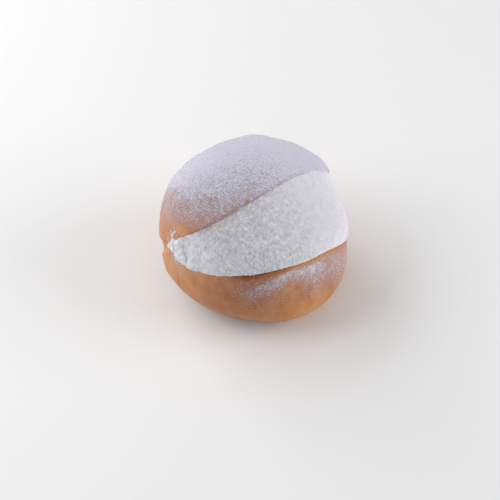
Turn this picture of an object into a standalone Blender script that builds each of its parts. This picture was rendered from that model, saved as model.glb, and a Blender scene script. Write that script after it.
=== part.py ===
"""Maritozzo: a round sweet bun, slit from the front and opened, with a wedge of whipped cream.

Metres, +Z up. The bun stands on its flat base at z = 0, and its slit opens towards -Y.
The slit turns about a hinge line that runs from side to side through the crumb, so every shape
here is a ball whose poles are the two ends of that line and whose meridians go round it.
"""

import math

import bmesh
import bpy
from mathutils import Vector, noise

# The closed crust
bun_radius = 0.0450  # mean radius at the widest height
bun_height = 0.0686
widest_height = 0.0236
foot_depth = 0.0266  # how deep the lower curve would reach below the widest height, uncut
dome_power = 2.54  # 2 is an ellipse, more is squarer
foot_power = 2.49
blend_start = widest_height - 0.006  # the lower outline blends into the upper one from here
blend_length = 0.024

# How far the outline leaves a circle: (turns, cosine part, sine part), by azimuth from +X
lower_outline = ((0, -0.0012, 0.0), (1, -0.0011, -0.0006), (2, -0.0011, -0.0007))
upper_outline = ((1, 0.0014, -0.0003), (2, 0.0008, -0.0008))
chin_depth = 0.0062  # the filling pushes the lower lip forwards
chin_width = math.radians(42.0)
outline_middle = Vector((-0.00100, 0.00357, 0.0))  # puts the widest points evenly about the origin

swelling_depth = 0.0005  # soft swellings of the baked dough
swelling_size = 0.022
swelling_place = Vector((3.1, 7.4, 1.2))
base_fade = 0.012  # no swelling at the flat base, all of it this far up

# The slit
hinge_middle = outline_middle + Vector((0.0, 0.0120, 0.0290))
hinge_slope = -0.21  # the right end lies lower than the left
lower_face_angle = 14.3  # degrees above the horizontal, seen along the hinge
upper_face_angle = 55.0
lower_lip_drops = (14.0, 6.0, 4.0)  # degrees: to the left end, soon to the right, to the right end
upper_lip_drops = (4.0, 8.0)  # degrees: to the left, to the right
hinge_end = 0.10  # the faces stop this share of the way out from the hinge line
pinch_depth = 0.0014  # dimple where the two lips meet
pinch_width = math.radians(13.0)

# The cream
cream_gap = 0.00035  # to each cut face of the bun
cream_top_edge = 0.975  # share of the way out where the cream meets the lid, just inside its lip
cream_end = 0.16  # share of the way out where the wedge of cream stops
cream_reach = math.radians(6.0)  # angle from the hinge line at which the cream ends
right_bulge = 0.0030  # how far the cream swells over the lower lip at the right
left_bulge = 0.0008
bulge_power = 2.5  # 1 swells midway between the lips, more nearer the lower one
bulge_roundness = 0.8  # less than 1 is blunter
bulge_start = -0.3  # share of the way to the right end where the swelling starts to grow
bulge_growth = 0.7
full_opening = 0.020  # where the mouth is narrower than this the cream swells less

# Mesh
halvings = 26  # of a ray, to find the crust on it
crust_steps = 52
crust_rings = 44
cut_shares = (0.985, 0.86, 0.66, 0.46, 0.28)  # rings of a cut face between its lip and the hinge
cream_front_steps = 20
cream_rings = 36

hinge_line = Vector((1.0, 0.0, hinge_slope)).normalized()
forwards = Vector((0.0, -1.0, 0.0))
upwards = forwards.cross(hinge_line)


def smooth_step(value):
    value = min(1.0, max(0.0, value))
    return value * value * (3.0 - 2.0 * value)


def outline(terms, azimuth):
    """How far the crust stands outside the mean circle."""
    return sum(c * math.cos(n * azimuth) + s * math.sin(n * azimuth) for n, c, s in terms)


def chin(azimuth):
    """How far the lower half is pushed forwards below the mouth."""
    from_front = math.remainder(azimuth + 0.5 * math.pi, 2.0 * math.pi)
    return chin_depth * math.exp(-((from_front / chin_width) ** 2))


def crust_radius(azimuth, height):
    """Distance of the crust from the upright axis at this azimuth and height."""
    blend = smooth_step((height - blend_start) / blend_length)
    widest = bun_radius + (outline(lower_outline, azimuth) + chin(azimuth)) * (1.0 - blend)
    widest += outline(upper_outline, azimuth) * blend
    above = height - widest_height
    depth, power = (bun_height - widest_height, dome_power) if above > 0 else (foot_depth, foot_power)
    share = min(1.0, abs(above) / depth)
    return widest * (1.0 - share**power) ** (1.0 / power)


def inside(point):
    if point.z < 0.0 or point.z > bun_height:
        return False
    flat = point - outline_middle
    return math.hypot(flat.x, flat.y) < crust_radius(math.atan2(flat.y, flat.x), point.z)


def crust_point(direction):
    """Where a ray from the middle of the hinge line leaves the bun."""
    near, far = 0.0, 2.0 * bun_radius
    for _ in range(halvings):
        middle = 0.5 * (near + far)
        if inside(hinge_middle + direction * middle):
            near = middle
        else:
            far = middle
    point = hinge_middle + direction * near
    swelling = noise.noise((point - outline_middle) / swelling_size + swelling_place) * swelling_depth
    swelling *= smooth_step(point.z / base_fade)
    from_end = math.acos(min(1.0, abs(direction.dot(hinge_line))))
    pinch = pinch_depth * math.exp(-((from_end / pinch_width) ** 2))
    return point + direction * (swelling - pinch)


def direction_at(angle, along):
    """Unit direction: angle round the hinge line, and cosine of the angle from its right end."""
    across = math.sqrt(max(0.0, 1.0 - along * along))
    return hinge_line * along + (forwards * math.cos(angle) + upwards * math.sin(angle)) * across


def lower_lip(along):
    """Angle of the lower cut face, which drops towards both ends of the mouth."""
    left_end, right, right_end = lower_lip_drops
    drop = left_end * along**2 if along < 0.0 else right * smooth_step(along / 0.6) + right_end * along**2
    return math.radians(lower_face_angle - drop)


def upper_lip(along):
    """Angle of the upper cut face, which is highest a little right of the middle."""
    left, right = upper_lip_drops
    drop = left * smooth_step((0.1 - along) / 0.7) + right * smooth_step((along - 0.2) / 0.5)
    return math.radians(upper_face_angle - drop)


def on_cut(lip, along, share):
    """Point of a cut face, at this share of the way from the hinge line to the lip."""
    edge = crust_point(direction_at(lip(along), along))
    end = crust_point(hinge_line * math.copysign(1.0, along))
    foot = hinge_middle.lerp(end, abs(along))
    return foot.lerp(edge, share)


def even_crust_angles():
    """Angles from the upper lip round the back to the lower lip, evenly spaced along the crust."""
    start, end = upper_lip(0.0), lower_lip(0.0) + 2.0 * math.pi
    count = 10 * crust_steps
    angles = [start + (end - start) * i / count for i in range(count + 1)]
    points = [crust_point(direction_at(angle, 0.0)) for angle in angles]
    run = [0.0]
    for before, after in zip(points, points[1:]):
        run.append(run[-1] + (after - before).length)
    shares = []
    for step in range(crust_steps + 1):
        goal = run[-1] * step / crust_steps
        i = min(range(len(run)), key=lambda n: abs(run[n] - goal))
        shares.append(i / count)
    return shares


def ball(name, meridians, rings, place):
    """A UV sphere whose vertices are moved to place(meridian number, cosine from the right end)."""
    mesh = bpy.data.meshes.new(name)
    shape = bmesh.new()
    bmesh.ops.create_uvsphere(shape, u_segments=meridians, v_segments=rings, radius=1.0)
    for vertex in shape.verts:
        turn = math.atan2(vertex.co.y, vertex.co.x) / (2.0 * math.pi)
        vertex.co = place(round(turn * meridians) % meridians, -max(-1.0, min(1.0, vertex.co.z)))
    shape.to_mesh(mesh)
    shape.free()
    mesh.shade_smooth()
    mesh.set_sharp_from_angle(angle=math.radians(40.0))
    return bpy.data.objects.new(name, mesh)


def bun():
    shares = even_crust_angles()
    inwards = (*cut_shares, hinge_end)

    def place(meridian, along):
        if meridian < len(shares):
            start, end = upper_lip(along), lower_lip(along) + 2.0 * math.pi
            return crust_point(direction_at(start + (end - start) * shares[meridian], along))
        step = meridian - len(shares)
        if step < len(inwards):
            return on_cut(lower_lip, along, inwards[step])
        return on_cut(upper_lip, along, inwards[2 * len(inwards) - 1 - step])

    return ball("bun", len(shares) + 2 * len(inwards), crust_rings, place)


def cream():
    inwards = (*cut_shares[1:], cream_end)

    def place(meridian, along):
        along *= math.cos(cream_reach)
        up_face = upwards * math.cos(upper_lip(along)) - forwards * math.sin(upper_lip(along))
        low_face = upwards * math.cos(lower_lip(along)) - forwards * math.sin(lower_lip(along))
        if meridian <= cream_front_steps:
            share = 1.0 - meridian / cream_front_steps
            top = on_cut(upper_lip, along, cream_top_edge) - up_face * cream_gap
            low = on_cut(lower_lip, along, 1.0) + low_face * cream_gap
            growth = smooth_step((along - bulge_start) / bulge_growth)
            bulge = left_bulge + (right_bulge - left_bulge) * growth
            bulge *= min(1.0, (top - low).length / full_opening)
            bulge *= math.sin(math.pi * share**bulge_power) ** bulge_roundness
            return top.lerp(low, share) + hinge_line.cross(top - low).normalized() * bulge
        step = meridian - cream_front_steps - 1
        if step < len(inwards):
            return on_cut(upper_lip, along, inwards[step]) - up_face * cream_gap
        return on_cut(lower_lip, along, inwards[2 * len(inwards) - 1 - step]) + low_face * cream_gap

    return ball("cream", cream_front_steps + 1 + 2 * len(inwards), cream_rings, place)


def finish(made, colour, roughness):
    """Gives a piece a material of its own."""
    material = bpy.data.materials.new(made.name)
    material.use_nodes = True
    shader = material.node_tree.nodes["Principled BSDF"]
    shader.inputs["Base Color"].default_value = (*colour, 1.0)
    shader.inputs["Roughness"].default_value = roughness
    shader.inputs["Metallic"].default_value = 0.0
    made.data.materials.append(material)


def main():
    for old in list(bpy.data.objects):
        bpy.data.objects.remove(old)
    home = bpy.data.collections.new("maritozzo")
    bpy.context.scene.collection.children.link(home)
    for made, colour, roughness in (
        (bun(), (0.46, 0.21, 0.085), 0.6),
        (cream(), (0.80, 0.78, 0.74), 0.5),
    ):
        finish(made, colour, roughness)
        home.objects.link(made)


main()
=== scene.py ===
import math

import bmesh
import bpy
import numpy as np
from mathutils import Matrix, Vector, noise
from mathutils.bvhtree import BVHTree


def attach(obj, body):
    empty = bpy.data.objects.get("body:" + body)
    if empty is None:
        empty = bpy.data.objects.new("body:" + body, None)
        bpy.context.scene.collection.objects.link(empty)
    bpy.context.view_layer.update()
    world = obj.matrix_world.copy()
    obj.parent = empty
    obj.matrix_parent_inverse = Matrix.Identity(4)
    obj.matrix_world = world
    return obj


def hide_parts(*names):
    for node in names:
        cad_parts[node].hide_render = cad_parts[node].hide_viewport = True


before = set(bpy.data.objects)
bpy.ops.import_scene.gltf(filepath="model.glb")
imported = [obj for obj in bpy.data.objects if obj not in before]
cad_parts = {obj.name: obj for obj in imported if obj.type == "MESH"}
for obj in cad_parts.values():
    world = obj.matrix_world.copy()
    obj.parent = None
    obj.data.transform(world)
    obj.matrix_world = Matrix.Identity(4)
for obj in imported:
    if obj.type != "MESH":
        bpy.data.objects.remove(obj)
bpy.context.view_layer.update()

mm = 0.001  # the bun is worked out in millimetres and scaled once, when a mesh is filled
tiny = 1e-9


def smoothStep(value):
    value = np.clip(value, 0.0, 1.0)
    return value * value * (3.0 - 2.0 * value)


# A fade in the dictionaries is a start and a run, and a step is a rise, a start and a run. They go along
# the mouth, or in mm from a lip or from the bun's middle
def ease(value, start, run):  # 0 at the start and 1 a run further on; a negative run goes the other way
    return smoothStep((value - start) / run)


def hill(value, place, width):  # 1 at the place, falling off on both sides
    return np.exp(-(((value - place) / width) ** 2))


def stepped(value, base, steps):  # the base, and a rise from each start over each run
    return sum((rise * ease(value, start, run) for rise, start, run in steps), base)


def hump(points, place, widths):  # the same as a hill, in space
    return np.exp(-np.sum(((points - np.array(place)) / np.array(widths)) ** 2, axis=1))


def humps(points, table, base=0.0):
    return sum((amount * hump(points, place, widths) for amount, place, widths in table), base)


def noiseAt(points):
    return np.array([noise.noise(p) for p in points.tolist()])


noiseShift = np.array([7.31, 3.17, 5.73])  # for each step of the seed


def softNoise(points, size, seed):  # about -1 to 1, with swellings of this size
    return noiseAt(points / size + seed * noiseShift)


def layered(points, layers, base=0.0):
    return sum((height * softNoise(points, size, seed) for size, height, seed in layers), base)


def unit(vectors):
    return vectors / np.maximum(np.linalg.norm(vectors, axis=1, keepdims=True), tiny)


def readPoints(mesh):
    flat = np.empty(len(mesh.vertices) * 3)
    mesh.vertices.foreach_get("co", flat)
    return flat.reshape(-1, 3)


def readNormals(mesh):
    flat = np.empty(len(mesh.vertices) * 3)
    mesh.vertex_normals.foreach_get("vector", flat)
    return flat.reshape(-1, 3)


def writePoints(mesh, points):
    mesh.vertices.foreach_set("co", points.astype(np.float32).ravel())
    mesh.update()


def writeField(mesh, name, values):  # one number for each vertex, read by the materials
    field = mesh.attributes.new(name, "FLOAT", "POINT")
    field.data.foreach_set("value", np.asarray(values, dtype=np.float32))


def baked(piece, name):  # the piece with its modifiers made into plain mesh
    graph = bpy.context.evaluated_depsgraph_get()
    mesh = bpy.data.meshes.new_from_object(piece.evaluated_get(graph))
    mesh.name = name
    return mesh


# The whole bun: a dome on a flat foot, its outline a little out of round
form = {
    "radius": 45.0,  # mean radius at the widest height
    "height": 68.6,
    "widest": 23.6,
    "foot": 26.6,  # how deep the lower curve would reach, uncut
    "domePower": 2.54,
    "footPower": 2.49,
    "blendStart": 17.6,
    "blendLength": 24.0,
    "lower": ((0, -1.2, 0.0), (1, -1.1, -0.6), (2, -1.1, -0.7)),  # turns, cosine part, sine part
    "upper": ((1, 1.4, -0.3), (2, 0.8, -0.8)),
    "chin": 6.2,  # the filling pushes the lower lip forwards
    "chinWidth": math.radians(42.0),
    "middle": np.array([-1.0, 3.57, 0.0]),
    "swelling": 0.5,  # soft swellings of the baked dough
    "swellingSize": 22.0,
    "swellingPlace": np.array([3.1, 7.4, 1.2]),
    "baseFade": 12.0,  # no swelling at the flat base, all of it this far up
    "halvings": 26,  # of a ray, to find the crust on it
}

# The mouth: two cut faces that meet on a line from side to side through the crumb. Places along it go
# from -1 at its left end to 1 at its right end, and angles go round that line, up from the front
mouth = {
    "hinge": form["middle"] + np.array([0.0, 12.0, 29.0]),
    "slope": -0.21,
    "lowerAngle": 14.3,  # degrees above the horizontal
    "upperAngle": 55.0,
    "lowerDrops": (14.0, 6.0, 4.0),  # to the left end, soon to the right, to the right end
    "lowerRun": 0.6,  # how soon that is
    "upperDrops": ((4.0, 0.1, -0.7), (8.0, 0.2, 0.5)),  # degrees, start, run
    "lowerWaves": ((-0.80, 0.14, 1.8), (-0.66, 0.13, 0.9), (-0.08, 0.25, -1.7)),  # place, width, degrees
    "upperWaves": ((-0.45, 0.20, 1.4), (0.43, 0.09, 2.0), (0.62, 0.08, -0.3), (-1.0, 0.12, 5.0)),
    "pinch": 1.4,  # dimple where the two lips meet
    "pinchWidth": math.radians(13.0),
}
hingeLine = np.array([1.0, 0.0, mouth["slope"]]) / math.hypot(1.0, mouth["slope"])
forwards = np.array([0.0, -1.0, 0.0])
upwards = np.cross(forwards, hingeLine)


def outline(terms, azimuth):
    return sum(c * np.cos(n * azimuth) + s * np.sin(n * azimuth) for n, c, s in terms)


def crustRadius(azimuth, height):
    blend = ease(height, form["blendStart"], form["blendLength"])
    fromFront = np.remainder(azimuth + 1.5 * math.pi, 2.0 * math.pi) - math.pi
    chin = form["chin"] * hill(fromFront, 0.0, form["chinWidth"])
    widest = form["radius"] + (outline(form["lower"], azimuth) + chin) * (1.0 - blend)
    widest = widest + outline(form["upper"], azimuth) * blend
    above = height - form["widest"]
    depth = np.where(above > 0, form["height"] - form["widest"], form["foot"])
    power = np.where(above > 0, form["domePower"], form["footPower"])
    share = np.minimum(1.0, np.abs(above) / depth)
    return widest * (1.0 - share**power) ** (1.0 / power)


def crustPoints(directions):  # where rays from the middle of the hinge line leave the bun
    near = np.zeros(len(directions))
    far = np.full(len(directions), 2.0 * form["radius"])
    for _ in range(form["halvings"]):
        middle = 0.5 * (near + far)
        at = mouth["hinge"] + directions * middle[:, None]
        flat = at - form["middle"]
        azimuth = np.arctan2(flat[:, 1], flat[:, 0])
        inside = np.hypot(flat[:, 0], flat[:, 1]) < crustRadius(azimuth, at[:, 2])
        inside &= (at[:, 2] > 0.0) & (at[:, 2] < form["height"])
        near = np.where(inside, middle, near)
        far = np.where(inside, far, middle)
    at = mouth["hinge"] + directions * near[:, None]
    place = (at - form["middle"]) / form["swellingSize"] + form["swellingPlace"]
    swelling = noiseAt(place) * form["swelling"] * ease(at[:, 2], 0.0, form["baseFade"])
    fromEnd = np.arccos(np.minimum(1.0, np.abs(directions @ hingeLine)))
    pinch = mouth["pinch"] * hill(fromEnd, 0.0, mouth["pinchWidth"])
    return at + directions * (swelling - pinch)[:, None]


def directionsAt(angle, along):
    across = np.sqrt(np.maximum(0.0, 1.0 - along**2))
    turned = np.outer(np.cos(angle), forwards) + np.outer(np.sin(angle), upwards)
    return np.outer(along, hingeLine) + turned * across[:, None]


def waves(terms, along):
    return sum(rise * hill(along, place, width) for place, width, rise in terms)


def lowerLip(along):
    leftEnd, right, rightEnd = mouth["lowerDrops"]
    rightDrop = right * ease(along, 0.0, mouth["lowerRun"]) + rightEnd * along**2
    drop = np.where(along < 0, leftEnd * along**2, rightDrop)
    return np.radians(mouth["lowerAngle"] - drop + waves(mouth["lowerWaves"], along))


def upperLip(along):
    drop = stepped(along, 0.0, mouth["upperDrops"])
    return np.radians(mouth["upperAngle"] - drop + waves(mouth["upperWaves"], along))


def lipAt(lip, along):  # a lip's edge, its foot on the hinge line and the run of the cut face
    edge = crustPoints(directionsAt(lip(along), along))
    end = crustPoints(np.outer(np.sign(along + tiny), hingeLine))
    foot = mouth["hinge"] + (end - mouth["hinge"]) * np.abs(along)[:, None]
    return edge, foot, np.linalg.norm(edge - foot, axis=1)


sortAxis = Vector((0.37, 0.61, 1.0))  # no two edges or faces of a ball lie equally far along it


def steadyMesh(shape, name):
    # the sphere operator leaves edges and faces in another order each time, which would move the grains
    for parts in (shape.edges, shape.faces):
        parts.sort(key=lambda part: sum(sortAxis.dot(v.co) for v in part.verts) / len(part.verts))
        parts.index_update()
    mesh = bpy.data.meshes.new(name)
    shape.to_mesh(mesh)
    shape.free()
    ends = np.empty(2 * len(mesh.edges), dtype=np.int32)
    mesh.edges.foreach_get("vertices", ends)
    mesh.edges.foreach_set("vertices", np.sort(ends.reshape(-1, 2), axis=1).ravel())
    return mesh


def ball(name, meridians, rings, place, smoothing):
    # a UV sphere with its poles at the two ends of the mouth, moved to place(meridian, along), in mm
    shape = bmesh.new()
    bmesh.ops.create_uvsphere(shape, u_segments=meridians, v_segments=rings, radius=1.0)
    mesh = steadyMesh(shape, name)
    at = readPoints(mesh)
    turn = np.arctan2(at[:, 1], at[:, 0]) / (2.0 * math.pi)
    meridian = np.round(turn * meridians).astype(int) % meridians
    writePoints(mesh, place(meridian, -np.clip(at[:, 2], -1.0, 1.0)))
    piece = bpy.data.objects.new(name, mesh)
    bpy.context.scene.collection.objects.link(piece)
    softened = piece.modifiers.new("Softened", "SUBSURF")
    softened.levels = softened.render_levels = smoothing
    fine = baked(piece, name)
    piece.modifiers.clear()
    piece.data = fine
    fine.shade_smooth()
    return piece


def mouthPlace(points):  # along and round the hinge line, how far off it, and direction and reach
    fromHinge = points - mouth["hinge"]
    reach = np.maximum(np.linalg.norm(fromHinge, axis=1), tiny)
    along = np.clip(fromHinge @ hingeLine / reach, -1.0, 1.0)
    angle = np.arctan2(fromHinge @ upwards, fromHinge @ forwards)
    return along, angle, reach * np.sqrt(1.0 - along**2), fromHinge / reach[:, None], reach


# The crust: baked, with rolled lips, soft dents and a fold behind the mouth's left end
bunLook = {
    "crustSteps": 62,
    "rings": 62,
    "smoothing": 2,
    "samples": 721,  # along the crust, to space its steps evenly
    "upperRoll": (1.25, 2.2),  # radius of the lid's rolled lip, at the left and at the right
    "widens": (0.2, 0.35),  # where it starts to widen, and over what run
    "lowerRoll": 0.7,
    "mostRoll": 0.2,  # share of a cut face's run
    "rollTurns": np.radians((22.5, 45.0, 67.5, 90.0)),
    "cutShares": np.array([0.96, 0.82, 0.58, 0.33, 0.10]),
    "shortestCut": 0.5,
    "baseFade": (0.3, 4.0),  # no relief at the flat base
    "lumps": ((9.0, 0.24, 3), (3.6, 0.07, 5), (1.5, 0.03, 8)),  # size, height, seed
    "dents": (  # place, widths, depth; less than nothing is a bump
        ((28.0, 12.5, 61.5), (4.5, 4.5, 4.5), 0.4),
        ((33.5, 21.0, 54.5), (4.5, 4.0, 4.5), 0.8),
        ((24.0, 27.5, 57.5), (7.0, 6.0, 7.0), -0.9),
        ((37.5, -4.0, 54.5), (6.0, 5.0, 6.0), -0.8),
        ((36.8, -11.5, 53.0), (4.0, 3.5, 4.0), 1.3),
        ((13.5, 35.5, 56.0), (3.5, 3.5, 3.5), 0.6),
        ((3.0, 38.0, 56.0), (6.5, 5.0, 5.0), 0.7),
        ((-44.0, 1.0, 37.1), (1.6, 1.6, 1.6), -0.5),
        ((-30.0, -29.0, 9.0), (6.0, 6.0, 6.0), 0.4),
        ((-43.5, 16.5, 22.0), (4.0, 5.0, 4.2), -0.9),
    ),
    "crease": {  # runs back from the mouth's left end, where the lid folds down on the chin
        "place": np.array([-40.3, 24.0, 28.0]),
        "across": np.array([0.333, 0.667, 0.667]),
        "run": np.array([0.227, 0.634, -0.747]),
        "widths": (4.2, 1.7),  # above it and below it
        "depth": 2.8,
        "starts": (-15.0, 9.0),
        "ends": (18.0, -8.0),
        "sideways": (0.0, -25.0),  # none of it right of the bun's middle
    },
    "crumbFrom": (1.1, 1.0),  # mm behind the lip's edge, and how much more at the right
    "crumbFade": 0.8,
    "crumbRelief": ((1.6, 0.35, 31), (0.9, 0.2, 32)),
    "mouthMargin": 0.02,
    "chinFrom": -0.5,  # mm below the lower lip
    "brownedAndShaded": (  # amount, place, widths: darker on the chin, partly browner crust and partly painted shade where the chin gets less light
        (0.65, (-31.0, -29.0, 24.0), (16.0, 15.0, 20.0)),
        (0.35, (-28.0, -28.5, 37.0), (10.0, 10.0, 9.0)),
        (0.45, (-41.0, -14.0, 22.0), (9.0, 12.0, 16.0)),
        (0.50, (9.0, -44.0, 24.0), (10.0, 10.0, 14.0)),
        (0.35, (-27.0, -32.0, 33.0), (8.0, 7.0, 7.0)),
    ),
    "darkerTowardsFoot": (17.0, -13.0),
    "footShares": (0.45, ((0.9, -5.0, -25.0),)),  # darker at its left
    "brownedTop": (0.6, 50.0, 10.0),
    "shadeUnderLip": (0.0, ((0.3, -0.8, 0.2),)),  # browner crust with a painted shadow of the overhanging cream, right under the lip where it kept the sugar off
    "shadeOnBand": 0.9,
    "underLipFade": 2.8,
    "underLipMargin": 0.05,
    "marks": (  # small scorched streaks on the chin
        (-5.2, -44.1, 29.9), (-10.9, -43.9, 28.2), (-8.4, -44.7, 27.2), (-16.7, -40.7, 29.1),
        (-18.3, -37.9, 32.8), (-21.0, -39.8, 26.0), (-25.5, -32.8, 34.0),
    ),
    "markWidths": (1.3, 1.3, 2.8),
}


def rightShare(along):  # 0 where the lid's lip is narrow, 1 where it is wide
    return ease(along, *bunLook["widens"])


def upperRoll(along):
    left, right = bunLook["upperRoll"]
    return left + (right - left) * rightShare(along)


def crease(points):
    look = bunLook["crease"]
    over, run = (points - look["place"]) @ look["across"], (points - look["place"]) @ look["run"]
    above, below = look["widths"]
    fold = look["depth"] * hill(over, 0.0, np.where(over > 0, above, below))
    fold *= ease(run, *look["starts"]) * ease(run, *look["ends"])
    return fold * ease(points[:, 0], *look["sideways"])


# Icing sugar on the crust, as the share that it covers: most of the lid, less down its left end, a thin
# veil round the torn cream and a ragged drift on the chin
lidSugar = {
    "growth": np.array([0.0107, 0.0136, 0.0338]),  # for each mm of x, y and z
    "start": -1.17,
    "most": 0.985,
    "ragged": ((6.0, 0.13, 11), (2.4, 0.09, 14)),
    "overEdge": 0.05,  # how far it goes round the lip, and as much again at the right
    "farOff": 99.0,  # where there is no lip below
    "nearLip": (3.0, 4.0),  # mm above the lip where a steep crust holds sugar, and how much more at right
    "steepness": (-0.35, 0.5),
    "bareLine": (0.5, 0.6, 0.16),  # along the lip: place above it, width, depth
    "bareLineRight": (0.9, 0.3, -0.03),  # how much more at the right
    "bareSpot": ((0.8, (-37.6, 7.3, 53.6), (3.2, 3.6, 2.6)),),
    "openRun": (33.0, ((14.0, -0.4, -0.3),)),  # mm above the lip where it lies open, crust between specks
    "openMost": 1.15,
    "openEnd": (0.36, -0.5),
}
veilLook = {
    "left": 0.16,
    "leftX": (-33.0, -6.0),
    "leftZ": (26.0, 12.0),
    "bare": ((-38.0, 7.0, 52.0), (5.0, 5.5, 4.5)),
    "patches": (
        (0.50, (-43.0, 8.0, 37.0), (2.5, 2.6, 1.6)),
        (0.35, (-40.2, 12.8, 47.0), (1.3, 1.7, 2.0)),
        (0.30, (-39.6, 12.2, 49.2), (1.3, 1.6, 1.8)),
        (0.40, (-44.0, 8.0, 34.0), (3.0, 4.5, 3.4)),
    ),
}
chinSugar = {
    "peak": (0.0, ((0.67, -0.80, 0.48), (-0.36, 0.03, 0.13))),  # the drift's share along the mouth
    "peakMiddle": (0.09, -0.07, 0.11),  # more, place, width
    "centre": (9.4, ((-6.8, -0.56, 0.36), (1.0, -0.2, 0.15))),  # mm below the lip
    "wander": ((7.0, 1.2, 12),),  # size, height, seed
    "upperWidth": (4.0, ((2.4, 0.05, 0.2),)),
    "lowerWidth": (7.0, ((3.5, -0.3, 0.3),)),
    "patchy": ((3.6, 0.24, 13), (1.5, 0.15, 16)),
    "left": (0.23, -0.54, 0.17),  # a thin patch left of the drift: share, place, width
    "leftFade": (14.0, -9.0),
    "dusting": (((2.0, 0.10, 15),), 0.19),  # loose specks all over the chin
    "dustingFade": (26.0, -12.0),
    "dustingStart": (-0.75, 0.25),
    "dustingEnd": (0.8, -0.3),
    "haze": 0.36,  # more of them round the drift's right half
    "hazeStart": (-0.22, 0.2),
    "hazeHeight": (8.0, 9.0),  # place and width
    "band": ((-0.78, 0.2), (-0.16, -0.22)),  # where the crust stays bare right under the lip
    "bareUnder": (0.4, 1.4),  # mm, and how much more along that band
    "bareFade": 1.6,
    "joinsLid": (0.8, 0.12),
}
sugarLook = {
    "depth": 0.12,
    "grain": (((2.2, 0.5, 21), (1.1, 0.5, 22)), 0.6),
    "knocked": ((0.5, (-12.1, -9.2, 67.0), (1.0, 0.9, 0.9)),),  # a spot near the lid's top
    "fleckShare": 0.5,  # the rest is a thin veil
    "openFlecks": (0.33, ((0.18, 0.0, -0.4),)),  # how many fewer where it lies open
    "specks": ((0.13, (-30.0, -28.5, 34.5), (8.0, 8.0, 6.0)),),  # loose, left of the drift
    "specksFrom": 1.5,
    "fleckGain": 1.32,
    "fleckStart": 0.25,
    "thick": 0.8,
    "thickFade": (0.5, 0.45),
    "thickOpen": 0.75,
    "clotsFrom": 0.05,  # mesh grains: none up to this share, and a few less where all is covered
    "clotsMost": 1.35,
    "clotsFall": 0.85,
}


def lidCover(points, normals, along, angle, arm):
    look, right = lidSugar, rightShare(along)
    onLid = (angle > upperLip(along) - look["overEdge"] - look["overEdge"] * right) | (angle < -math.pi / 2)
    aboveLip = np.where(angle > 0, (angle - upperLip(along)) * arm, look["farOff"])
    near, nearRight = look["nearLip"]
    steep = np.where(aboveLip < near + nearRight * right, 1.0, ease(normals[:, 2], *look["steepness"]))
    cover = points @ look["growth"] + look["start"] + layered(points, look["ragged"])
    cover = np.clip(cover, 0.0, look["most"]) * steep
    (at, width, depth), (atMore, widthMore, depthMore) = look["bareLine"], look["bareLineRight"]
    bareLine = (aboveLip - at - atMore * right) / (width + widthMore * right)
    cover *= 1.0 - (depth + depthMore * right) * np.exp(-(bareLine**2))
    cover *= 1.0 - humps(points, look["bareSpot"])
    openly = smoothStep(look["openMost"] - np.maximum(aboveLip, 0.0) / stepped(along, *look["openRun"]))
    return cover, onLid, openly * onLid * ease(along, *look["openEnd"])


def thinVeil(points):
    look = veilLook
    veil = look["left"] * ease(points[:, 0], *look["leftX"]) * ease(points[:, 2], *look["leftZ"])
    veil *= 1.0 - hump(points, *look["bare"])
    return humps(points, look["patches"], veil)


def chinCover(points, along, belowLip, lid):
    look = chinSugar
    share, at, spread = look["peakMiddle"]
    peak = stepped(along, *look["peak"]) + share * hill(along, at, spread)
    centre = stepped(along, *look["centre"]) + layered(points, look["wander"])
    upper, lower = stepped(along, *look["upperWidth"]), stepped(along, *look["lowerWidth"])
    patchy = layered(points, look["patchy"], 1.0)
    drift = peak * hill(belowLip, centre, np.where(belowLip < centre, upper, lower)) * patchy
    share, at, spread = look["left"]
    left = share * hill(along, at, spread) * ease(belowLip, *look["leftFade"]) * patchy
    dusting = layered(points, *look["dusting"]) * ease(belowLip, *look["dustingFade"])
    dusting *= ease(along, *look["dustingStart"])
    haze = look["haze"] * ease(along, *look["hazeStart"]) * hill(belowLip, *look["hazeHeight"]) * patchy
    dusting = (dusting + haze) * ease(along, *look["dustingEnd"])
    bandStart, bandEnd = look["band"]
    band = ease(along, *bandStart) * ease(along, *bandEnd)
    bare, bareMore = look["bareUnder"]
    cover = np.maximum(np.maximum(drift, left), dusting)
    cover *= smoothStep((belowLip - bare - bareMore * band) / look["bareFade"])
    cover = np.maximum(cover, lid * ease(along, *look["joinsLid"]))  # both meet at the mouth's right end
    return cover, band


def crustShares():  # steps round the crust from the upper lip to the lower one, evenly spaced
    start, end = upperLip(np.zeros(1))[0], lowerLip(np.zeros(1))[0] + 2.0 * math.pi
    fine = np.linspace(0.0, 1.0, bunLook["samples"])
    path = crustPoints(directionsAt(start + (end - start) * fine, np.zeros(len(fine))))
    run = np.concatenate([[0.0], np.cumsum(np.linalg.norm(np.diff(path, axis=0), axis=1))])
    return np.interp(np.linspace(0.0, run[-1], bunLook["crustSteps"] + 1), run, fine)


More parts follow.
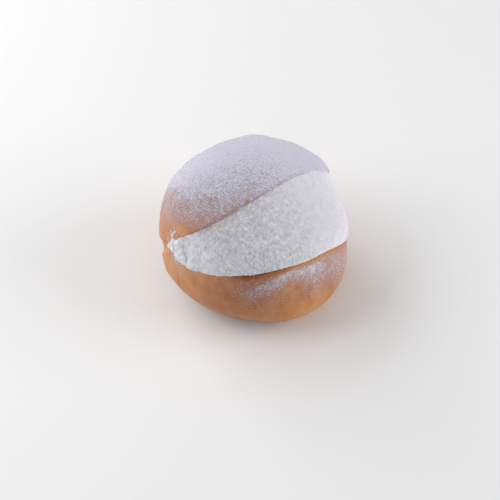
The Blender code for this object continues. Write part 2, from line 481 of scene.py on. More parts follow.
def makeBun():
    shares, turns, inwards = crustShares(), bunLook["rollTurns"], bunLook["cutShares"]
    crust, roll, cut = len(shares), len(turns), len(inwards)

    def place(meridian, along):
        lowerEdge, lowerFoot, lowerRun = lipAt(lowerLip, along)
        upperEdge, upperFoot, upperRun = lipAt(upperLip, along)
        lowerRadius = np.minimum(bunLook["lowerRoll"], bunLook["mostRoll"] * lowerRun)
        upperRadius = np.minimum(upperRoll(along), bunLook["mostRoll"] * upperRun)
        start = upperLip(along) + upperRadius / np.maximum(upperRun, bunLook["shortestCut"])
        end = lowerLip(along) + 2.0 * math.pi - lowerRadius / np.maximum(lowerRun, bunLook["shortestCut"])
        angle = start + (end - start) * shares[np.minimum(meridian, crust - 1)]
        points = crustPoints(directionsAt(angle, along))
        corners = (
            (lowerEdge, lowerFoot, lowerRun, lowerRadius, crustPoints(directionsAt(end, along))),
            (upperEdge, upperFoot, upperRun, upperRadius, crustPoints(directionsAt(start, along))),
        )
        for which, (edge, foot, length, radius, before) in enumerate(corners):
            first = crust if which == 0 else crust + roll + 2 * cut
            here = (meridian >= first) & (meridian < first + roll)
            step = np.clip(meridian - first, 0, roll - 1)
            turn = turns[step] if which == 0 else turns[::-1][step]
            inwardsRun = unit(foot - edge) * (radius * (1.0 - np.cos(turn)))[:, None]
            rolled = edge + (before - edge) * (1.0 - np.sin(turn))[:, None] + inwardsRun
            points[here] = rolled[here]
            first = crust + roll if which == 0 else crust + roll + cut
            here = (meridian >= first) & (meridian < first + cut)
            step = np.clip(meridian - first, 0, cut - 1)
            share = inwards[step] if which == 0 else inwards[::-1][step]
            share = share * (1.0 - radius / np.maximum(length, bunLook["shortestCut"]))
            points[here] = (foot + (edge - foot) * share[:, None])[here]
        return points

    bun = ball("bunCrust", crust + 2 * roll + 2 * cut, bunLook["rings"], place, bunLook["smoothing"])
    dressCrust(bun.data)
    return bun


def dressCrust(mesh):  # its relief, and the fields that its material and the grains read
    look = sugarLook
    points, normals = readPoints(mesh), readNormals(mesh)
    along, angle, arm, direction, reach = mouthPlace(points)
    margin = bunLook["mouthMargin"]
    inMouth = (angle < upperLip(along) + margin) & (angle > lowerLip(along) - margin)
    depth = np.linalg.norm(crustPoints(direction) - mouth["hinge"], axis=1) - reach
    crumbFrom, crumbMore = bunLook["crumbFrom"]
    crumb = smoothStep((depth - crumbFrom - crumbMore * rightShare(along)) / bunLook["crumbFade"])
    crumb = np.where(inMouth, crumb, 0.0)

    belowLip = (lowerLip(along) - angle) * arm
    lid, onLid, openly = lidCover(points, normals, along, angle, arm)
    chin, band = chinCover(points, along, belowLip, lid)
    inFront = angle > -math.pi / 2
    loose = np.where(onLid, lid, np.where((belowLip > bunLook["chinFrom"]) & inFront, chin, 0.0))
    sugar = np.clip(np.maximum(loose, thinVeil(points)), 0.0, 1.0)
    loose = np.clip(loose, 0.0, 1.0)
    sugar *= (1.0 - crumb) * (1.0 - humps(points, look["knocked"]))
    flecks = look["fleckShare"] * sugar
    flecks /= 1.0 - flecks
    flecks *= 1.0 - stepped(along, *look["openFlecks"]) * openly * sugar
    flecks += humps(points, look["specks"]) * (belowLip > look["specksFrom"])
    thick = look["thick"] * ease(sugar, *look["thickFade"]) * (1.0 - look["thickOpen"] * openly)
    clots = (loose - look["clotsFrom"]) * (look["clotsMost"] - look["clotsFall"] * loose)

    # browning and painted shade in one field: a browner top, darker towards the foot, and humps on the chin
    # that are partly painted shade
    darker = humps(points, bunLook["brownedAndShaded"])
    darker += ease(points[:, 2], *bunLook["darkerTowardsFoot"]) * stepped(points[:, 0], *bunLook["footShares"])
    darker += stepped(points[:, 2], 0.0, (bunLook["brownedTop"],))
    # painted shadow under the cream's overhang over browner crust, strongest along the bare band
    shadeUnderLip = stepped(along, *bunLook["shadeUnderLip"]) + bunLook["shadeOnBand"] * band
    shadeUnderLip *= np.exp(-np.maximum(belowLip, 0.0) / bunLook["underLipFade"])
    below = inFront & (angle < lowerLip(along) + bunLook["underLipMargin"])
    darker += np.where(below, shadeUnderLip, 0.0)
    scorched = sum(hump(points, at, bunLook["markWidths"]) for at in bunLook["marks"])

    rise = layered(points, bunLook["lumps"])
    for at, widths, deep in bunLook["dents"]:
        rise -= deep * hump(points, at, widths)
    rise -= crease(points)
    rise += sugar * look["depth"] * layered(points, *look["grain"])
    rise += crumb * layered(points, bunLook["crumbRelief"])
    points += normals * (rise * ease(points[:, 2], *bunLook["baseFade"]))[:, None]
    points[:, 2] = np.maximum(points[:, 2], 0.0)
    writePoints(mesh, points * mm)
    writeField(mesh, "sugar", sugar)
    writeField(mesh, "crumb", crumb)
    writeField(mesh, "flecks", look["fleckGain"] * flecks - look["fleckStart"])
    writeField(mesh, "thick", thick)
    writeField(mesh, "browningAndShade", np.clip(darker, 0.0, 2.0))
    writeField(mesh, "scorched", scorched)
    writeField(mesh, "sifted", np.clip(clots, 0.0, 1.0) * (1.0 - crumb))


# The cream: a wedge that fills the mouth, scraped flat, torn at its left end
creamLook = {
    "frontSteps": 44,
    "rings": 60,
    "smoothing": 2,
    "cutShares": np.array([0.93, 0.80, 0.55, 0.30, 0.16]),
    "reach": math.radians(3.0),
    "sunk": 0.12,  # it presses this far into the crumb, so that no gap shows
    "recess": (0.8, 0.4, -0.4),  # share of the lid's rolled lip proud of it, what the left and right add
    "mostRecess": 0.3,  # share of the cut face's run
    "dented": (0.64, 0.12),  # where the lid's lip is pressed in
    "dentRecess": 0.35,
    "dentLift": 1.6,
    "leftwards": ((0.1, -0.4), (-0.95, 0.2)),
    "tornEdge": (-0.55, -0.3),
    "wander": (14.0, 4.7),  # of its lower edge: waves along the mouth, place in the noise
    "spill": 0.15,  # over the lower lip
    "edgeWander": 0.2,
    "tornSpill": (0.2, 0.8),
    "spillDrop": 0.6,
    "bulge": (0.8, 3.7),  # how far it swells at the left and at the right
    "bulgeGrowth": (-0.3, 0.7),
    "bulgePower": 2.5,  # 1 swells midway between the lips, more nearer the lower one
    "bulgeRoundness": 0.8,  # less than 1 is blunter
    "fullMouth": 20.0,  # where the mouth is narrower than this the cream swells less
    "front": (0.25, 0.4),  # only what looks outwards has relief
    "torn": (-0.6, -0.3),
    "granular": (0.2, -0.7),
    "tornSmoother": 0.4,
    "scrapeMarks": (0.12, 18.0, 2.2),  # height, and how often along and across
    "relief": (  # size, seed, height, what granules and tearing add
        (4.2, 41, 0.20, 0.0, 0.22),
        (2.0, 42, 0.04, 0.12, 0.03),
        (1.2, 43, 0.02, 0.13, -0.05),
    ),
    "hollows": (  # place, widths, depth
        ((-41.0, 1.6, 46.5), (2.6, 2.1, 2.6), 0.3),
        ((-42.4, 1.0, 43.0), (2.6, 2.1, 2.6), 0.35),
        ((-43.2, 0.4, 40.6), (2.6, 1.8, 2.2), 0.25),
        ((-40.7, 7.0, 44.3), (2.4, 3.2, 3.6), -0.6),
        ((-26.0, -12.0, 57.0), (5.0, 4.0, 4.0), 0.35),
        ((-31.0, -15.0, 49.0), (3.0, 4.0, 5.0), 0.4),
    ),
    "paintedShadeAndGrey": ((0.1, -0.5), (-0.9, 0.2)),  # painted shade: its middle is greyer, and so is a line under the lid, for the lid's shadow
    "lidShadow": 0.8,
    "lidShadowWidth": 2.2,
    "lidShadowEnd": (0.1, -0.3),
    "clots": (0.75, 0.6),  # how thick its grains lie, and how much less on the torn end
}


def faceNormal(lip, along):
    return np.outer(np.cos(lip(along)), upwards) - np.outer(np.sin(lip(along)), forwards)


def makeCream():
    look = creamLook
    steps, inwards, sunk = look["frontSteps"], look["cutShares"], look["sunk"]

    def place(meridian, along):
        along = along * math.cos(look["reach"])
        upFace, lowFace = faceNormal(upperLip, along), faceNormal(lowerLip, along)
        upperEdge, upperFoot, upperRun = lipAt(upperLip, along)
        lowerEdge, lowerFoot, _ = lipAt(lowerLip, along)
        often, shift = look["wander"]
        wander = noiseAt(np.outer(along * often, (1.0, 0.0, 0.0)) + shift)
        torn = ease(along, *look["tornEdge"])
        leftStart, leftEnd = look["leftwards"]
        leftwards = ease(along, *leftStart) * ease(along, *leftEnd)
        recess, recessLeft, recessRight = look["recess"]
        recess = recess + recessLeft * leftwards + recessRight * rightShare(along)
        recess = np.minimum(upperRoll(along) * recess, look["mostRecess"] * upperRun)
        hidden = 1.0 - np.minimum(1.0, recess / upperRoll(along))
        lifted = sunk + upperRoll(along) * (1.0 - np.sqrt(1.0 - hidden**2))
        dented = hill(along, *look["dented"])
        recess, lifted = recess + look["dentRecess"] * dented, lifted + look["dentLift"] * dented
        top = upperEdge + unit(upperFoot - upperEdge) * recess[:, None] + upFace * lifted[:, None]
        tornSpill, tornWander = look["tornSpill"]
        spill = look["spill"] * (1.0 - leftwards) + look["edgeWander"] * wander
        spill += torn * (tornSpill + tornWander * wander)
        low = lowerEdge + unit(lowerEdge - lowerFoot) * spill[:, None]
        low -= lowFace * (sunk + look["spillDrop"] * np.maximum(spill, 0.0))[:, None]
        chord = top - low
        out = unit(np.cross(hingeLine, chord))
        share = np.clip(1.0 - meridian / steps, 0.0, 1.0)
        leftBulge, rightBulge = look["bulge"]
        bulge = leftBulge + (rightBulge - leftBulge) * ease(along, *look["bulgeGrowth"])
        bulge *= np.minimum(1.0, np.linalg.norm(chord, axis=1) / look["fullMouth"])
        bulge *= np.abs(np.sin(math.pi * share ** look["bulgePower"])) ** look["bulgeRoundness"]
        front = top + (low - top) * share[:, None] + out * bulge[:, None]
        step = np.clip(meridian - steps - 1, 0, 2 * len(inwards) - 1)
        both = np.concatenate([inwards, inwards[::-1]])[step][:, None]
        upper = upperFoot + (upperEdge - upperFoot) * both + upFace * sunk
        lower = lowerFoot + (lowerEdge - lowerFoot) * both - lowFace * sunk
        sides = np.where((step < len(inwards))[:, None], upper, lower)
        return np.where((meridian <= steps)[:, None], front, sides)

    cream = ball("creamFilling", steps + 1 + 2 * len(inwards), look["rings"], place, look["smoothing"])
    dressCream(cream.data)
    return cream


def dressCream(mesh):
    look = creamLook
    points, normals = readPoints(mesh), readNormals(mesh)
    along, angle, arm, direction, _ = mouthPlace(points)
    across = (upperLip(along) - angle) / (upperLip(along) - lowerLip(along))
    front = ease(np.einsum("ij,ij->i", normals, direction), *look["front"])
    torn = ease(along, *look["torn"])
    granular = ease(along, *look["granular"]) * (1.0 - look["tornSmoother"] * torn)
    height, alongMouth, acrossMouth = look["scrapeMarks"]
    scraped = np.stack([along * alongMouth, across * acrossMouth, across * 0.0], 1)
    rise = height * (1.0 - granular) * noiseAt(scraped)
    for size, seed, height, granules, tearing in look["relief"]:
        rise += (height + granules * granular + tearing * torn) * softNoise(points, size, seed)
    for at, widths, deep in look["hollows"]:
        rise -= deep * hump(points, at, widths)
    points += normals * (rise * front)[:, None]
    writePoints(mesh, points * mm)
    # painted shade on the cream: greyer in its middle and in a line right under the lid's lip, where the lid
    # shades it
    shadeStart, shadeEnd = look["paintedShadeAndGrey"]
    paintedShadeAndGrey = ease(along, *shadeStart) * ease(along, *shadeEnd)
    fromLid = np.maximum((upperLip(along) - angle) * arm, 0.0)
    paintedShadeAndGrey += look["lidShadow"] * hill(fromLid, 0.0, look["lidShadowWidth"]) * ease(along, *look["lidShadowEnd"])
    clots, tornLess = look["clots"]
    writeField(mesh, "paintedShadeAndGrey", paintedShadeAndGrey * front)
    writeField(mesh, "granular", granular * front)
    writeField(mesh, "sifted", clots * granular * front * (1.0 - tornLess * torn))


# Where the knife left the mouth, the cream stands up in a torn ridge and lies over the crust
tornLook = {
    "lumps": (  # place, size along x, y and z
        ((-40.3, 10.6, 45.2), (1.6, 1.9, 1.7)),
        ((-40.4, 8.9, 45.0), (2.2, 2.4, 2.2)),
        ((-40.8, 7.5, 43.3), (2.4, 2.6, 2.4)),
        ((-41.3, 5.7, 41.6), (2.4, 2.5, 2.4)),
        ((-41.8, 3.9, 40.2), (2.2, 2.1, 2.1)),
        ((-40.3, 7.2, 46.0), (2.0, 2.8, 2.3)),
        ((-40.6, 5.7, 44.5), (2.2, 3.2, 2.6)),
        ((-41.1, 4.2, 42.7), (2.2, 3.0, 2.6)),
        ((-41.7, 2.6, 41.0), (2.1, 2.4, 2.2)),
        ((-42.4, 1.6, 39.5), (1.6, 1.8, 1.5)),
        ((-40.9, 15.2, 37.8), (1.4, 1.6, 1.4)),
        ((-41.0, 13.4, 38.6), (1.6, 1.9, 1.8)),
        ((-41.4, 11.2, 39.2), (1.8, 2.0, 1.8)),
        ((-41.2, 10.4, 41.5), (1.9, 2.1, 2.3)),
        ((-40.4, 13.2, 41.6), (1.3, 1.9, 2.2)),
        ((-40.3, 12.2, 44.2), (1.2, 1.6, 1.8)),
        ((-40.9, 14.2, 39.9), (1.5, 1.7, 1.8)),
        ((-40.7, 11.5, 43.2), (1.9, 2.2, 2.6)),
    ),
    "strands": (  # a flick of cream left on the lid: path, thickness
        (((-40.6, 11.8, 45.6), (-40.6, 12.6, 46.4), (-40.4, 13.5, 46.7), (-39.6, 15.0, 47.8)), 0.60),
        (((-40.4, 13.0, 46.8), (-39.9, 12.3, 48.6), (-39.4, 11.2, 50.4)), 0.55),
    ),
    "strandShares": (0.0, 0.2, 0.4, 0.6, 0.8),
    "strandLift": -0.14,
    "lumpRounds": 3,
    "grid": 0.26,
    "easing": 4,
    "roughness": ((2.6, 0.40, 51), (1.2, 0.16, 52)),
    "granular": 0.3,
    "flick": ((2.0, (-40.0, 12.8, 48.6), (2.0, 3.0, 2.6)),),  # thin enough for the crust to grey it
}


def makeTornCream(bun):
    lumps = list(tornLook["lumps"])
    crust = BVHTree.FromObject(bun, bpy.context.evaluated_depsgraph_get())
    for path, thick in tornLook["strands"]:
        for start, end in zip(path, path[1:]):
            for share in tornLook["strandShares"]:
                place, normal, _, _ = crust.find_nearest(Vector(start).lerp(Vector(end), share) * mm)
                lumps.append((place / mm + normal * tornLook["strandLift"], (thick,) * 3))
    shape = bmesh.new()
    for at, sizes in lumps:
        moved = Matrix.Translation(Vector(at) * mm) @ Matrix.Diagonal((*(Vector(sizes) * mm), 1.0))
        bmesh.ops.create_icosphere(shape, subdivisions=tornLook["lumpRounds"], radius=1.0, matrix=moved)
    mesh = bpy.data.meshes.new("tornCream")
    shape.to_mesh(mesh)
    shape.free()
    torn = bpy.data.objects.new("tornCream", mesh)
    bpy.context.scene.collection.objects.link(torn)
    merged = torn.modifiers.new("Merged", "REMESH")
    merged.mode = "VOXEL"
    merged.voxel_size = tornLook["grid"] * mm
    eased = torn.modifiers.new("Eased", "SMOOTH")
    eased.iterations = tornLook["easing"]
    fine = baked(torn, "tornCream")
    torn.modifiers.clear()
    torn.data = fine
    points, normals = readPoints(fine) / mm, readNormals(fine)
    for size, height, seed in tornLook["roughness"]:
        points += normals * (height * softNoise(points, size, seed))[:, None]
    writePoints(fine, points * mm)
    writeField(fine, "granular", np.full(len(points), tornLook["granular"]))
    # on the flick the same field is its own grey, the crust showing through thin cream
    writeField(fine, "paintedShadeAndGrey", humps(points, tornLook["flick"]))
    fine.shade_smooth()
    return torn


# Sugar that lies in clumps on the dusted faces: rounded grains, too small to tell apart
grainLook = {
    "crust": {"name": "sugarOnCrust", "perMm2": 1.9, "radius": (0.07, 0.18), "seed": 3, "lift": 0.05},
    "cream": {"name": "sugarOnCream", "perMm2": 0.9, "radius": (0.20, 0.42), "seed": 8, "lift": 0.05},
    "rounds": 1,
    "fullTurn": 6.28,
}


def node(tree, kind, links=None, output=0, **settings):
    # adds a node, sets it up, feeds its inputs with values or sockets, and gives back an output of it
    made = tree.nodes.new(kind)
    for key, value in settings.items():
        setattr(made, key, value)
    for socket, source in (links or {}).items():
        if isinstance(source, bpy.types.NodeSocket):
            tree.links.new(source, made.inputs[socket])
        else:
            made.inputs[socket].default_value = source
    return made.outputs[output] if len(made.outputs) else made


def strewGrains(ground, look):
    # strews grains over a piece, thickest where its field is highest, and makes them one mesh
    tree = bpy.data.node_groups.new(look["name"], "GeometryNodeTree")
    tree.interface.new_socket("Geometry", in_out="INPUT", socket_type="NodeSocketGeometry")
    tree.interface.new_socket("Geometry", in_out="OUTPUT", socket_type="NodeSocketGeometry")
    surface = node(tree, "NodeGroupInput")
    thickness = node(tree, "GeometryNodeInputNamedAttribute", {"Name": "sifted"}, data_type="FLOAT")
    density = node(tree, "ShaderNodeMath", {0: thickness, 1: look["perMm2"] / mm**2}, operation="MULTIPLY")
    links = {"Mesh": surface, "Density": density, "Seed": look["seed"]}
    points = node(tree, "GeometryNodeDistributePointsOnFaces", links)
    least, most = (radius * mm for radius in look["radius"])
    radius = node(tree, "FunctionNodeRandomValue", {2: least, 3: most}, output=1, data_type="FLOAT")
    links = {1: (grainLook["fullTurn"],) * 3}
    turned = node(tree, "FunctionNodeRandomValue", links, data_type="FLOAT_VECTOR")
    grain = node(tree, "GeometryNodeMeshIcoSphere", {"Radius": 1.0, "Subdivisions": grainLook["rounds"]})
    links = {0: points.node.outputs["Normal"], "Scale": look["lift"] * mm}
    lifted = node(tree, "ShaderNodeVectorMath", links, operation="SCALE")
    raised = node(tree, "GeometryNodeSetPosition", {"Geometry": points, "Offset": lifted})
    links = {"Points": raised, "Instance": grain, "Rotation": turned, "Scale": radius}
    placed = node(tree, "GeometryNodeInstanceOnPoints", links)
    real = node(tree, "GeometryNodeRealizeInstances", {0: placed})
    node(tree, "NodeGroupOutput", {0: real})
    grains = bpy.data.objects.new(look["name"], ground.data)
    bpy.context.scene.collection.objects.link(grains)
    strewn = grains.modifiers.new("Strewn", "NODES")
    strewn.node_group = tree
    fine = baked(grains, look["name"])
    grains.modifiers.clear()
    grains.data = fine
    fine.materials.clear()
    fine.shade_smooth()
    print(look["name"], len(fine.polygons), "faces")
    return grains


def linear(hexColour):  # sRGB hex to the linear colour that a shader takes
    parts = [int(hexColour[i:i + 2], 16) / 255.0 for i in (1, 3, 5)]
    return tuple(c / 12.92 if c <= 0.04045 else ((c + 0.055) / 1.055) ** 2.4 for c in parts) + (1.0,)


def newMaterial(name, **values):
    material = bpy.data.materials.new(name)
    material.use_nodes = True
    shader = material.node_tree.nodes["Principled BSDF"]
    for key, value in values.items():
        shader.inputs[key.replace("_", " ")].default_value = value
    return material, material.node_tree, shader


def noiseScale(size):  # for swellings that are this many mm across
    return 0.5 / (size * mm)


blended = {"data_type": "RGBA", "output": 2}  # how a Mix node mixes colours

crustFinish = {
    "stops": ((0.10, "#93532f"), (0.45, "#c9854b"), (0.75, "#dca36e")),  # brown, golden, palest
    # ruddy colours both the browner crust and the painted shade on the chin and under the lower lip
    "ruddy": "#7e3f1c",
    "freckle": "#b2632c",
    "bloom": "#cb9a76",
    "crumb": "#e6c7a0",
    "sheen": "#f0dcd8",
    # a thin veil of sugar, and the painted shade between its clumps
    "sugarThinAndShaded": "#a69ca8",
    "sugarThick": "#d5d4e4",
    "patchSize": 5.5,  # mm, as every size here
    "streakSize": 1.8,
    "streakStretch": (1.0, 1.0, 0.35),  # streaks stand upright
    "patchShare": 0.75,
    "ruddyMost": 0.68,
    "ruddyPatches": 0.6,
    "freckles": (0.39, 0.30),
    "freckleShare": 0.4,
    "scorchShare": 0.55,
    "bloomSize": 2.2,
    "bloomShare": 0.25,
    "blooms": (0.45, 0.7),
    "clumpSize": 0.42,
    "bendsPerMm": 1.2,
    "bend": 0.3,
    "flecksPerMm": 2.0,
    "fleckRaggedness": 1.5,
    "fleckEdge": 3.0,
    "heaping": 0.4,
    "fleckSeen": (0.62, 0.34),  # what the sugar's share adds, and the least
    "veilPower": 1.25,
    "roughness": (0.5, 0.95),  # bare and under sugar
    "bumpStrength": 0.4,
    "bumpHeight": 0.2,
}


def crustMaterial():
    # baked enriched dough: satin, golden, browner where it faced the heat, darker on the chin and under the
    # cream with painted shade, under sifted icing sugar
    look = crustFinish
    material, tree, shader = newMaterial(
        "bakedDough",
        IOR=1.45,
        Specular_IOR_Level=0.35,
        Sheen_Weight=0.15,
        Sheen_Roughness=0.5,
        Sheen_Tint=linear(look["sheen"]),
        Subsurface_Weight=0.12,
        Subsurface_Scale=1.5 * mm,
        Subsurface_Radius=(1.0, 0.5, 0.25),
    )
    place = node(tree, "ShaderNodeTexCoord", output="Object")
    upright = node(tree, "ShaderNodeMapping", {"Vector": place, "Scale": look["streakStretch"]})
    links = {"Vector": place, "Scale": noiseScale(look["patchSize"]), "Detail": 3.0}
    patches = node(tree, "ShaderNodeTexNoise", links)
    links = {"Vector": upright, "Scale": noiseScale(look["streakSize"]), "Detail": 2.0}
    streaks = node(tree, "ShaderNodeTexNoise", links)
    tone = node(tree, "ShaderNodeMath", {0: streaks, 1: 1.0 - look["patchShare"]}, operation="MULTIPLY")
    links = {0: patches, 1: look["patchShare"], 2: tone}
    tone = node(tree, "ShaderNodeMath", links, operation="MULTIPLY_ADD")
    crust = node(tree, "ShaderNodeValToRGB", {0: tone})
    stops = crust.node.color_ramp.elements
    stops.new(0.5)
    for stop, (position, colour) in zip(stops, look["stops"]):
        stop.position = position
        stop.color = linear(colour)
    # the browning field also carries painted shade, mixed in with the ruddy colour
    browningAndShade = node(tree, "ShaderNodeAttribute", output="Fac", attribute_name="browningAndShade")
    share = look["ruddyPatches"]
    browningAndShade = node(tree, "ShaderNodeMath", {0: browningAndShade, 1: 0.5 * share}, operation="SUBTRACT")
    browningAndShade = node(tree, "ShaderNodeMath", {0: patches, 1: share, 2: browningAndShade}, operation="MULTIPLY_ADD")
    links = {0: browningAndShade, 1: look["ruddyMost"]}
    browningAndShade = node(tree, "ShaderNodeMath", links, operation="MULTIPLY", use_clamp=True)
    crust = node(tree, "ShaderNodeMix", {0: browningAndShade, 6: crust, 7: linear(look["ruddy"])}, **blended)
    start, full = look["freckles"]
    spots = node(tree, "ShaderNodeMapRange", {"Value": streaks, "From Min": start, "From Max": full})
    spots = node(tree, "ShaderNodeMath", {0: spots, 1: look["freckleShare"]}, operation="MULTIPLY")
    scorched = node(tree, "ShaderNodeAttribute", output="Fac", attribute_name="scorched")
    scorched = node(tree, "ShaderNodeMath", {0: scorched, 1: look["scorchShare"]}, operation="MULTIPLY")
    spots = node(tree, "ShaderNodeMath", {0: spots, 1: scorched}, operation="MAXIMUM")
    crust = node(tree, "ShaderNodeMix", {0: spots, 6: crust, 7: linear(look["freckle"])}, **blended)
    links = {"Vector": place, "Scale": noiseScale(look["bloomSize"]), "Detail": 3.0}
    bloom = node(tree, "ShaderNodeTexNoise", links)
    start, full = look["blooms"]
    bloom = node(tree, "ShaderNodeMapRange", {"Value": bloom, "From Min": start, "From Max": full})
    bloom = node(tree, "ShaderNodeMath", {0: bloom, 1: look["bloomShare"]}, operation="MULTIPLY")
    crust = node(tree, "ShaderNodeMix", {0: bloom, 6: crust, 7: linear(look["bloom"])}, **blended)
    crumb = node(tree, "ShaderNodeAttribute", output="Fac", attribute_name="crumb")
    crust = node(tree, "ShaderNodeMix", {0: crumb, 6: crust, 7: linear(look["crumb"])}, **blended)

    # sifted sugar is a thin veil first, then ragged flecks of about 0.5 mm that close up over it
    thinAndShaded, thick = linear(look["sugarThinAndShaded"]), linear(look["sugarThick"])
    sugar = node(tree, "ShaderNodeAttribute", output="Fac", attribute_name="sugar")
    links = {"Vector": place, "Scale": noiseScale(look["clumpSize"]), "Detail": 3.0, "Roughness": 0.55}
    clumps = node(tree, "ShaderNodeTexNoise", links)
    uneven = node(tree, "ShaderNodeMath", {0: clumps, 1: 0.5}, operation="SUBTRACT")
    links = {"Vector": place, "Scale": look["bendsPerMm"] / mm, "Detail": 1.0}
    bent = node(tree, "ShaderNodeTexNoise", links, output="Color")
    links = {0: bent, 1: (look["bend"] * mm,) * 3, 2: place}
    bent = node(tree, "ShaderNodeVectorMath", links, operation="MULTIPLY_ADD")
    links = {"Vector": bent, "Scale": look["flecksPerMm"] / mm}
    chance = node(tree, "ShaderNodeTexVoronoi", links, output="Color")
    chance = node(tree, "ShaderNodeSeparateColor", {0: chance})
    links = {0: uneven, 1: look["fleckRaggedness"], 2: chance}
    chance = node(tree, "ShaderNodeMath", links, operation="MULTIPLY_ADD")
    flecks = node(tree, "ShaderNodeAttribute", output="Fac", attribute_name="flecks")
    flecks = node(tree, "ShaderNodeMath", {0: chance, 1: flecks}, operation="ADD")
    flecks = node(tree, "ShaderNodeMath", {0: flecks, 1: 1.0}, operation="SUBTRACT")
    links = {0: flecks, 1: look["fleckEdge"], 2: 0.5}
    flecks = node(tree, "ShaderNodeMath", links, operation="MULTIPLY_ADD", use_clamp=True)
    heaped = node(tree, "ShaderNodeAttribute", output="Fac", attribute_name="thick")
    links = {0: uneven, 1: look["heaping"], 2: heaped}
    heaped = node(tree, "ShaderNodeMath", links, operation="MULTIPLY_ADD")
    # the veil greys where it is thin, and where the clumps dip: painted shade between them
    veil = node(tree, "ShaderNodeMix", {0: heaped, 6: thinAndShaded, 7: thick}, **blended)
    share = node(tree, "ShaderNodeMath", {0: sugar, 1: look["veilPower"]}, operation="POWER")
    dusted = node(tree, "ShaderNodeMix", {0: share, 6: crust, 7: veil}, **blended)
    gain, least = look["fleckSeen"]
    links = {0: sugar, 1: gain, 2: least}
    seen = node(tree, "ShaderNodeMath", links, operation="MULTIPLY_ADD", use_clamp=True)
    seen = node(tree, "ShaderNodeMath", {0: flecks, 1: seen}, operation="MULTIPLY")
    dusted = node(tree, "ShaderNodeMix", {0: seen, 6: dusted, 7: thick}, **blended)
    tree.links.new(dusted, shader.inputs["Base Color"])
    bare, matt = look["roughness"]
    links = {"Value": sugar, "To Min": bare, "To Max": matt}
    tree.links.new(node(tree, "ShaderNodeMapRange", links), shader.inputs["Roughness"])
    height = node(tree, "ShaderNodeMath", {0: flecks, 1: 0.5, 2: clumps}, operation="MULTIPLY_ADD")
    links = {"Height": height, "Strength": look["bumpStrength"], "Distance": look["bumpHeight"] * mm}
    tree.links.new(node(tree, "ShaderNodeBump", links), shader.inputs["Normal"])
    return material


creamFinish = {
    "shade": "#c5c3cb",
    "light": "#f1f0f6",
    "stretch": (1.0, 1.0, 0.7),
    "granulesPerMm": 0.62,
    "granuleEdge": 0.7,
    "granuleRelief": (0.42, 0.75),
    "fineSize": 0.75,
    "fineRelief": 0.85,
    "strength": (1.1, 0.4),  # of the tone and the bump: what granules add, and what is always there
    # the tone's level rises where granular, towards the cream's left: partly painted light
    "level": (0.12, 0.57),
    "paintedShadeDepth": -0.20,
    "bumpStrength": 0.6,
    "bumpHeight": 0.3,
}


def creamMaterial():
    # whipped cream scraped flat, dusted with sugar: matt, soft, lit a little from within
    look = creamFinish
    material, tree, shader = newMaterial(
        "whippedCream",
        Roughness=0.75,
        IOR=1.45,
        Specular_IOR_Level=0.25,
        Subsurface_Weight=0.3,
        Subsurface_Scale=2.0 * mm,
        Subsurface_Radius=(1.0, 0.8, 0.6),
    )
    # granules of about 1.6 mm on the dusted side, each with a finer grain of its own
    place = node(tree, "ShaderNodeTexCoord", output="Object")
    upright = node(tree, "ShaderNodeMapping", {"Vector": place, "Scale": look["stretch"]})
    links = {"Vector": upright, "Scale": look["granulesPerMm"] / mm, "Smoothness": look["granuleEdge"]}
    cells = node(tree, "ShaderNodeTexVoronoi", links, feature="SMOOTH_F1")
    middle, rise = look["granuleRelief"]
    cells = node(tree, "ShaderNodeMath", {0: middle, 1: cells}, operation="SUBTRACT")
    cells = node(tree, "ShaderNodeMath", {0: cells, 1: rise}, operation="MULTIPLY")
    links = {"Vector": upright, "Scale": noiseScale(look["fineSize"]), "Detail": 1.0}
    fine = node(tree, "ShaderNodeTexNoise", links)
    fine = node(tree, "ShaderNodeMath", {0: fine, 1: 0.5}, operation="SUBTRACT")
    links = {0: fine, 1: look["fineRelief"], 2: cells}
    relief = node(tree, "ShaderNodeMath", links, operation="MULTIPLY_ADD")
    granular = node(tree, "ShaderNodeAttribute", output="Fac", attribute_name="granular")
    paintedShadeAndGrey = node(tree, "ShaderNodeAttribute", output="Fac", attribute_name="paintedShadeAndGrey")
    gain, least = look["strength"]
    strength = node(tree, "ShaderNodeMath", {0: granular, 1: gain, 2: least}, operation="MULTIPLY_ADD")
    gain, least = look["level"]
    level = node(tree, "ShaderNodeMath", {0: granular, 1: gain, 2: least}, operation="MULTIPLY_ADD")
    # painted shade: the tone goes darker in the cream's middle and under the lid
    level = node(tree, "ShaderNodeMath", {0: paintedShadeAndGrey, 1: look["paintedShadeDepth"], 2: level}, operation="MULTIPLY_ADD")
    # the tone follows the same relief as the bump: partly the granules' own colour, partly painted shade in
    # their hollows and painted light on their tops
    links = {0: relief, 1: strength, 2: level}
    tone = node(tree, "ShaderNodeMath", links, operation="MULTIPLY_ADD", use_clamp=True)
    links = {0: tone, 6: linear(look["shade"]), 7: linear(look["light"])}
    tree.links.new(node(tree, "ShaderNodeMix", links, **blended), shader.inputs["Base Color"])
    height = node(tree, "ShaderNodeMath", {0: relief, 1: strength}, operation="MULTIPLY")
    links = {"Height": height, "Strength": look["bumpStrength"], "Distance": look["bumpHeight"] * mm}
    tree.links.new(node(tree, "ShaderNodeBump", links), shader.inputs["Normal"])
    return material


sugarColours = {"icingSugar": "#d8d4de", "clottedSugar": "#e3e2e7"}


def sugarMaterial(name):
    # icing sugar, sifted dry: dead matt
    colour = linear(sugarColours[name])
    return newMaterial(name, Base_Color=colour, Roughness=0.95, IOR=1.5, Specular_IOR_Level=0.2)[0]


def finish(piece, material, slot, *nodes):
    piece.data.materials.clear()
    piece.data.materials.append(material)
    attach(piece, "root")
    if nodes:
        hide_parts(*nodes)


print("bun")
bun = makeBun()
finish(bun, crustMaterial(), "crust", "bun")

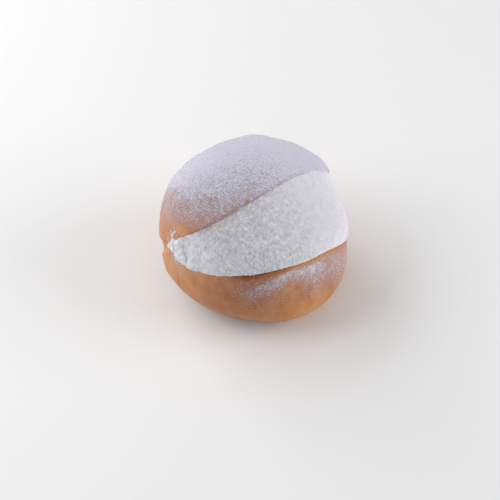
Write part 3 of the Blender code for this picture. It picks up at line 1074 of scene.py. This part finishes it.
print("cream")
cream = makeCream()
whipped = creamMaterial()
finish(cream, whipped, "cream", "cream")
finish(makeTornCream(bun), whipped, "cream")

print("sugar")
finish(strewGrains(bun, grainLook["crust"]), sugarMaterial("icingSugar"), "cream")
finish(strewGrains(cream, grainLook["cream"]), sugarMaterial("clottedSugar"), "cream")


# A pale table, soft light from behind and both sides, and the camera
studio = {
    "floorSize": 6.0,
    "floor": "#fafafa",
    "sky": 0.35,
    "lights": (  # name, watts, size, azimuth from the camera's side to the right, elevation
        ("left", 3.2, 0.7, -90.0, 38.0),
        ("right", 4.5, 0.7, 80.0, 18.0),
        ("back", 3.05, 0.7, -140.0, 32.0),
    ),
    "lightDistance": 0.9,
    "aim": Vector((-8.46, -4.13, 25.0)) * mm,
    "azimuth": -38.0,
    "elevation": 49.59,
    "roll": 4.16,
    "distance": 0.700,
    "lens": 104.29,
    "sensor": 36.0,
    "nearest": 0.01,
}


def fromCamera(azimuth, elevation):  # unit direction from the bun, azimuth counted from the camera's side
    turn, rise = math.radians(studio["azimuth"] + azimuth), math.radians(elevation)
    return Vector((math.sin(turn) * math.cos(rise), -math.cos(turn) * math.cos(rise), math.sin(rise)))


def makeStudio():
    shape = bmesh.new()
    bmesh.ops.create_grid(shape, x_segments=1, y_segments=1, size=studio["floorSize"] / 2)
    mesh = bpy.data.meshes.new("floor")
    shape.to_mesh(mesh)
    shape.free()
    floor = bpy.data.objects.new("floor", mesh)
    bpy.context.scene.collection.objects.link(floor)
    # a painted table top, matt
    mesh.materials.append(newMaterial("paleTable", Base_Color=linear(studio["floor"]), Roughness=0.8)[0])
    world = bpy.data.worlds.new("softStudio")
    world.use_nodes = True
    sky = world.node_tree.nodes["Background"]
    sky.inputs["Color"].default_value = (1.0, 1.0, 1.0, 1.0)
    sky.inputs["Strength"].default_value = studio["sky"]
    bpy.context.scene.world = world
    for name, watts, size, azimuth, elevation in studio["lights"]:
        towards = fromCamera(azimuth, elevation)
        light = bpy.data.lights.new(name, "AREA")
        light.shape = "DISK"
        light.size = size
        light.energy = watts
        lamp = bpy.data.objects.new(name, light)
        lamp.location = studio["aim"] + towards * studio["lightDistance"]
        lamp.rotation_euler = towards.to_track_quat("Z", "Y").to_euler()
        bpy.context.scene.collection.objects.link(lamp)


def makeCamera():
    back = fromCamera(0.0, studio["elevation"])
    turn, roll = math.radians(studio["azimuth"]), math.radians(studio["roll"])
    right = Vector((math.cos(turn), math.sin(turn), 0.0))
    up = back.cross(right)
    across = right * math.cos(roll) - up * math.sin(roll)
    upright = right * math.sin(roll) + up * math.cos(roll)
    lens = bpy.data.cameras.new("camera")
    lens.lens = studio["lens"]
    lens.sensor_width = studio["sensor"]
    lens.clip_start = studio["nearest"]
    camera = bpy.data.objects.new("camera", lens)
    camera.matrix_world = Matrix((across, upright, back)).transposed().to_4x4()
    camera.location = studio["aim"] + back * studio["distance"]
    bpy.context.scene.collection.objects.link(camera)
    bpy.context.scene.camera = camera


print("studio")
makeStudio()
makeCamera()
bpy.context.scene.view_settings.view_transform = "Standard"
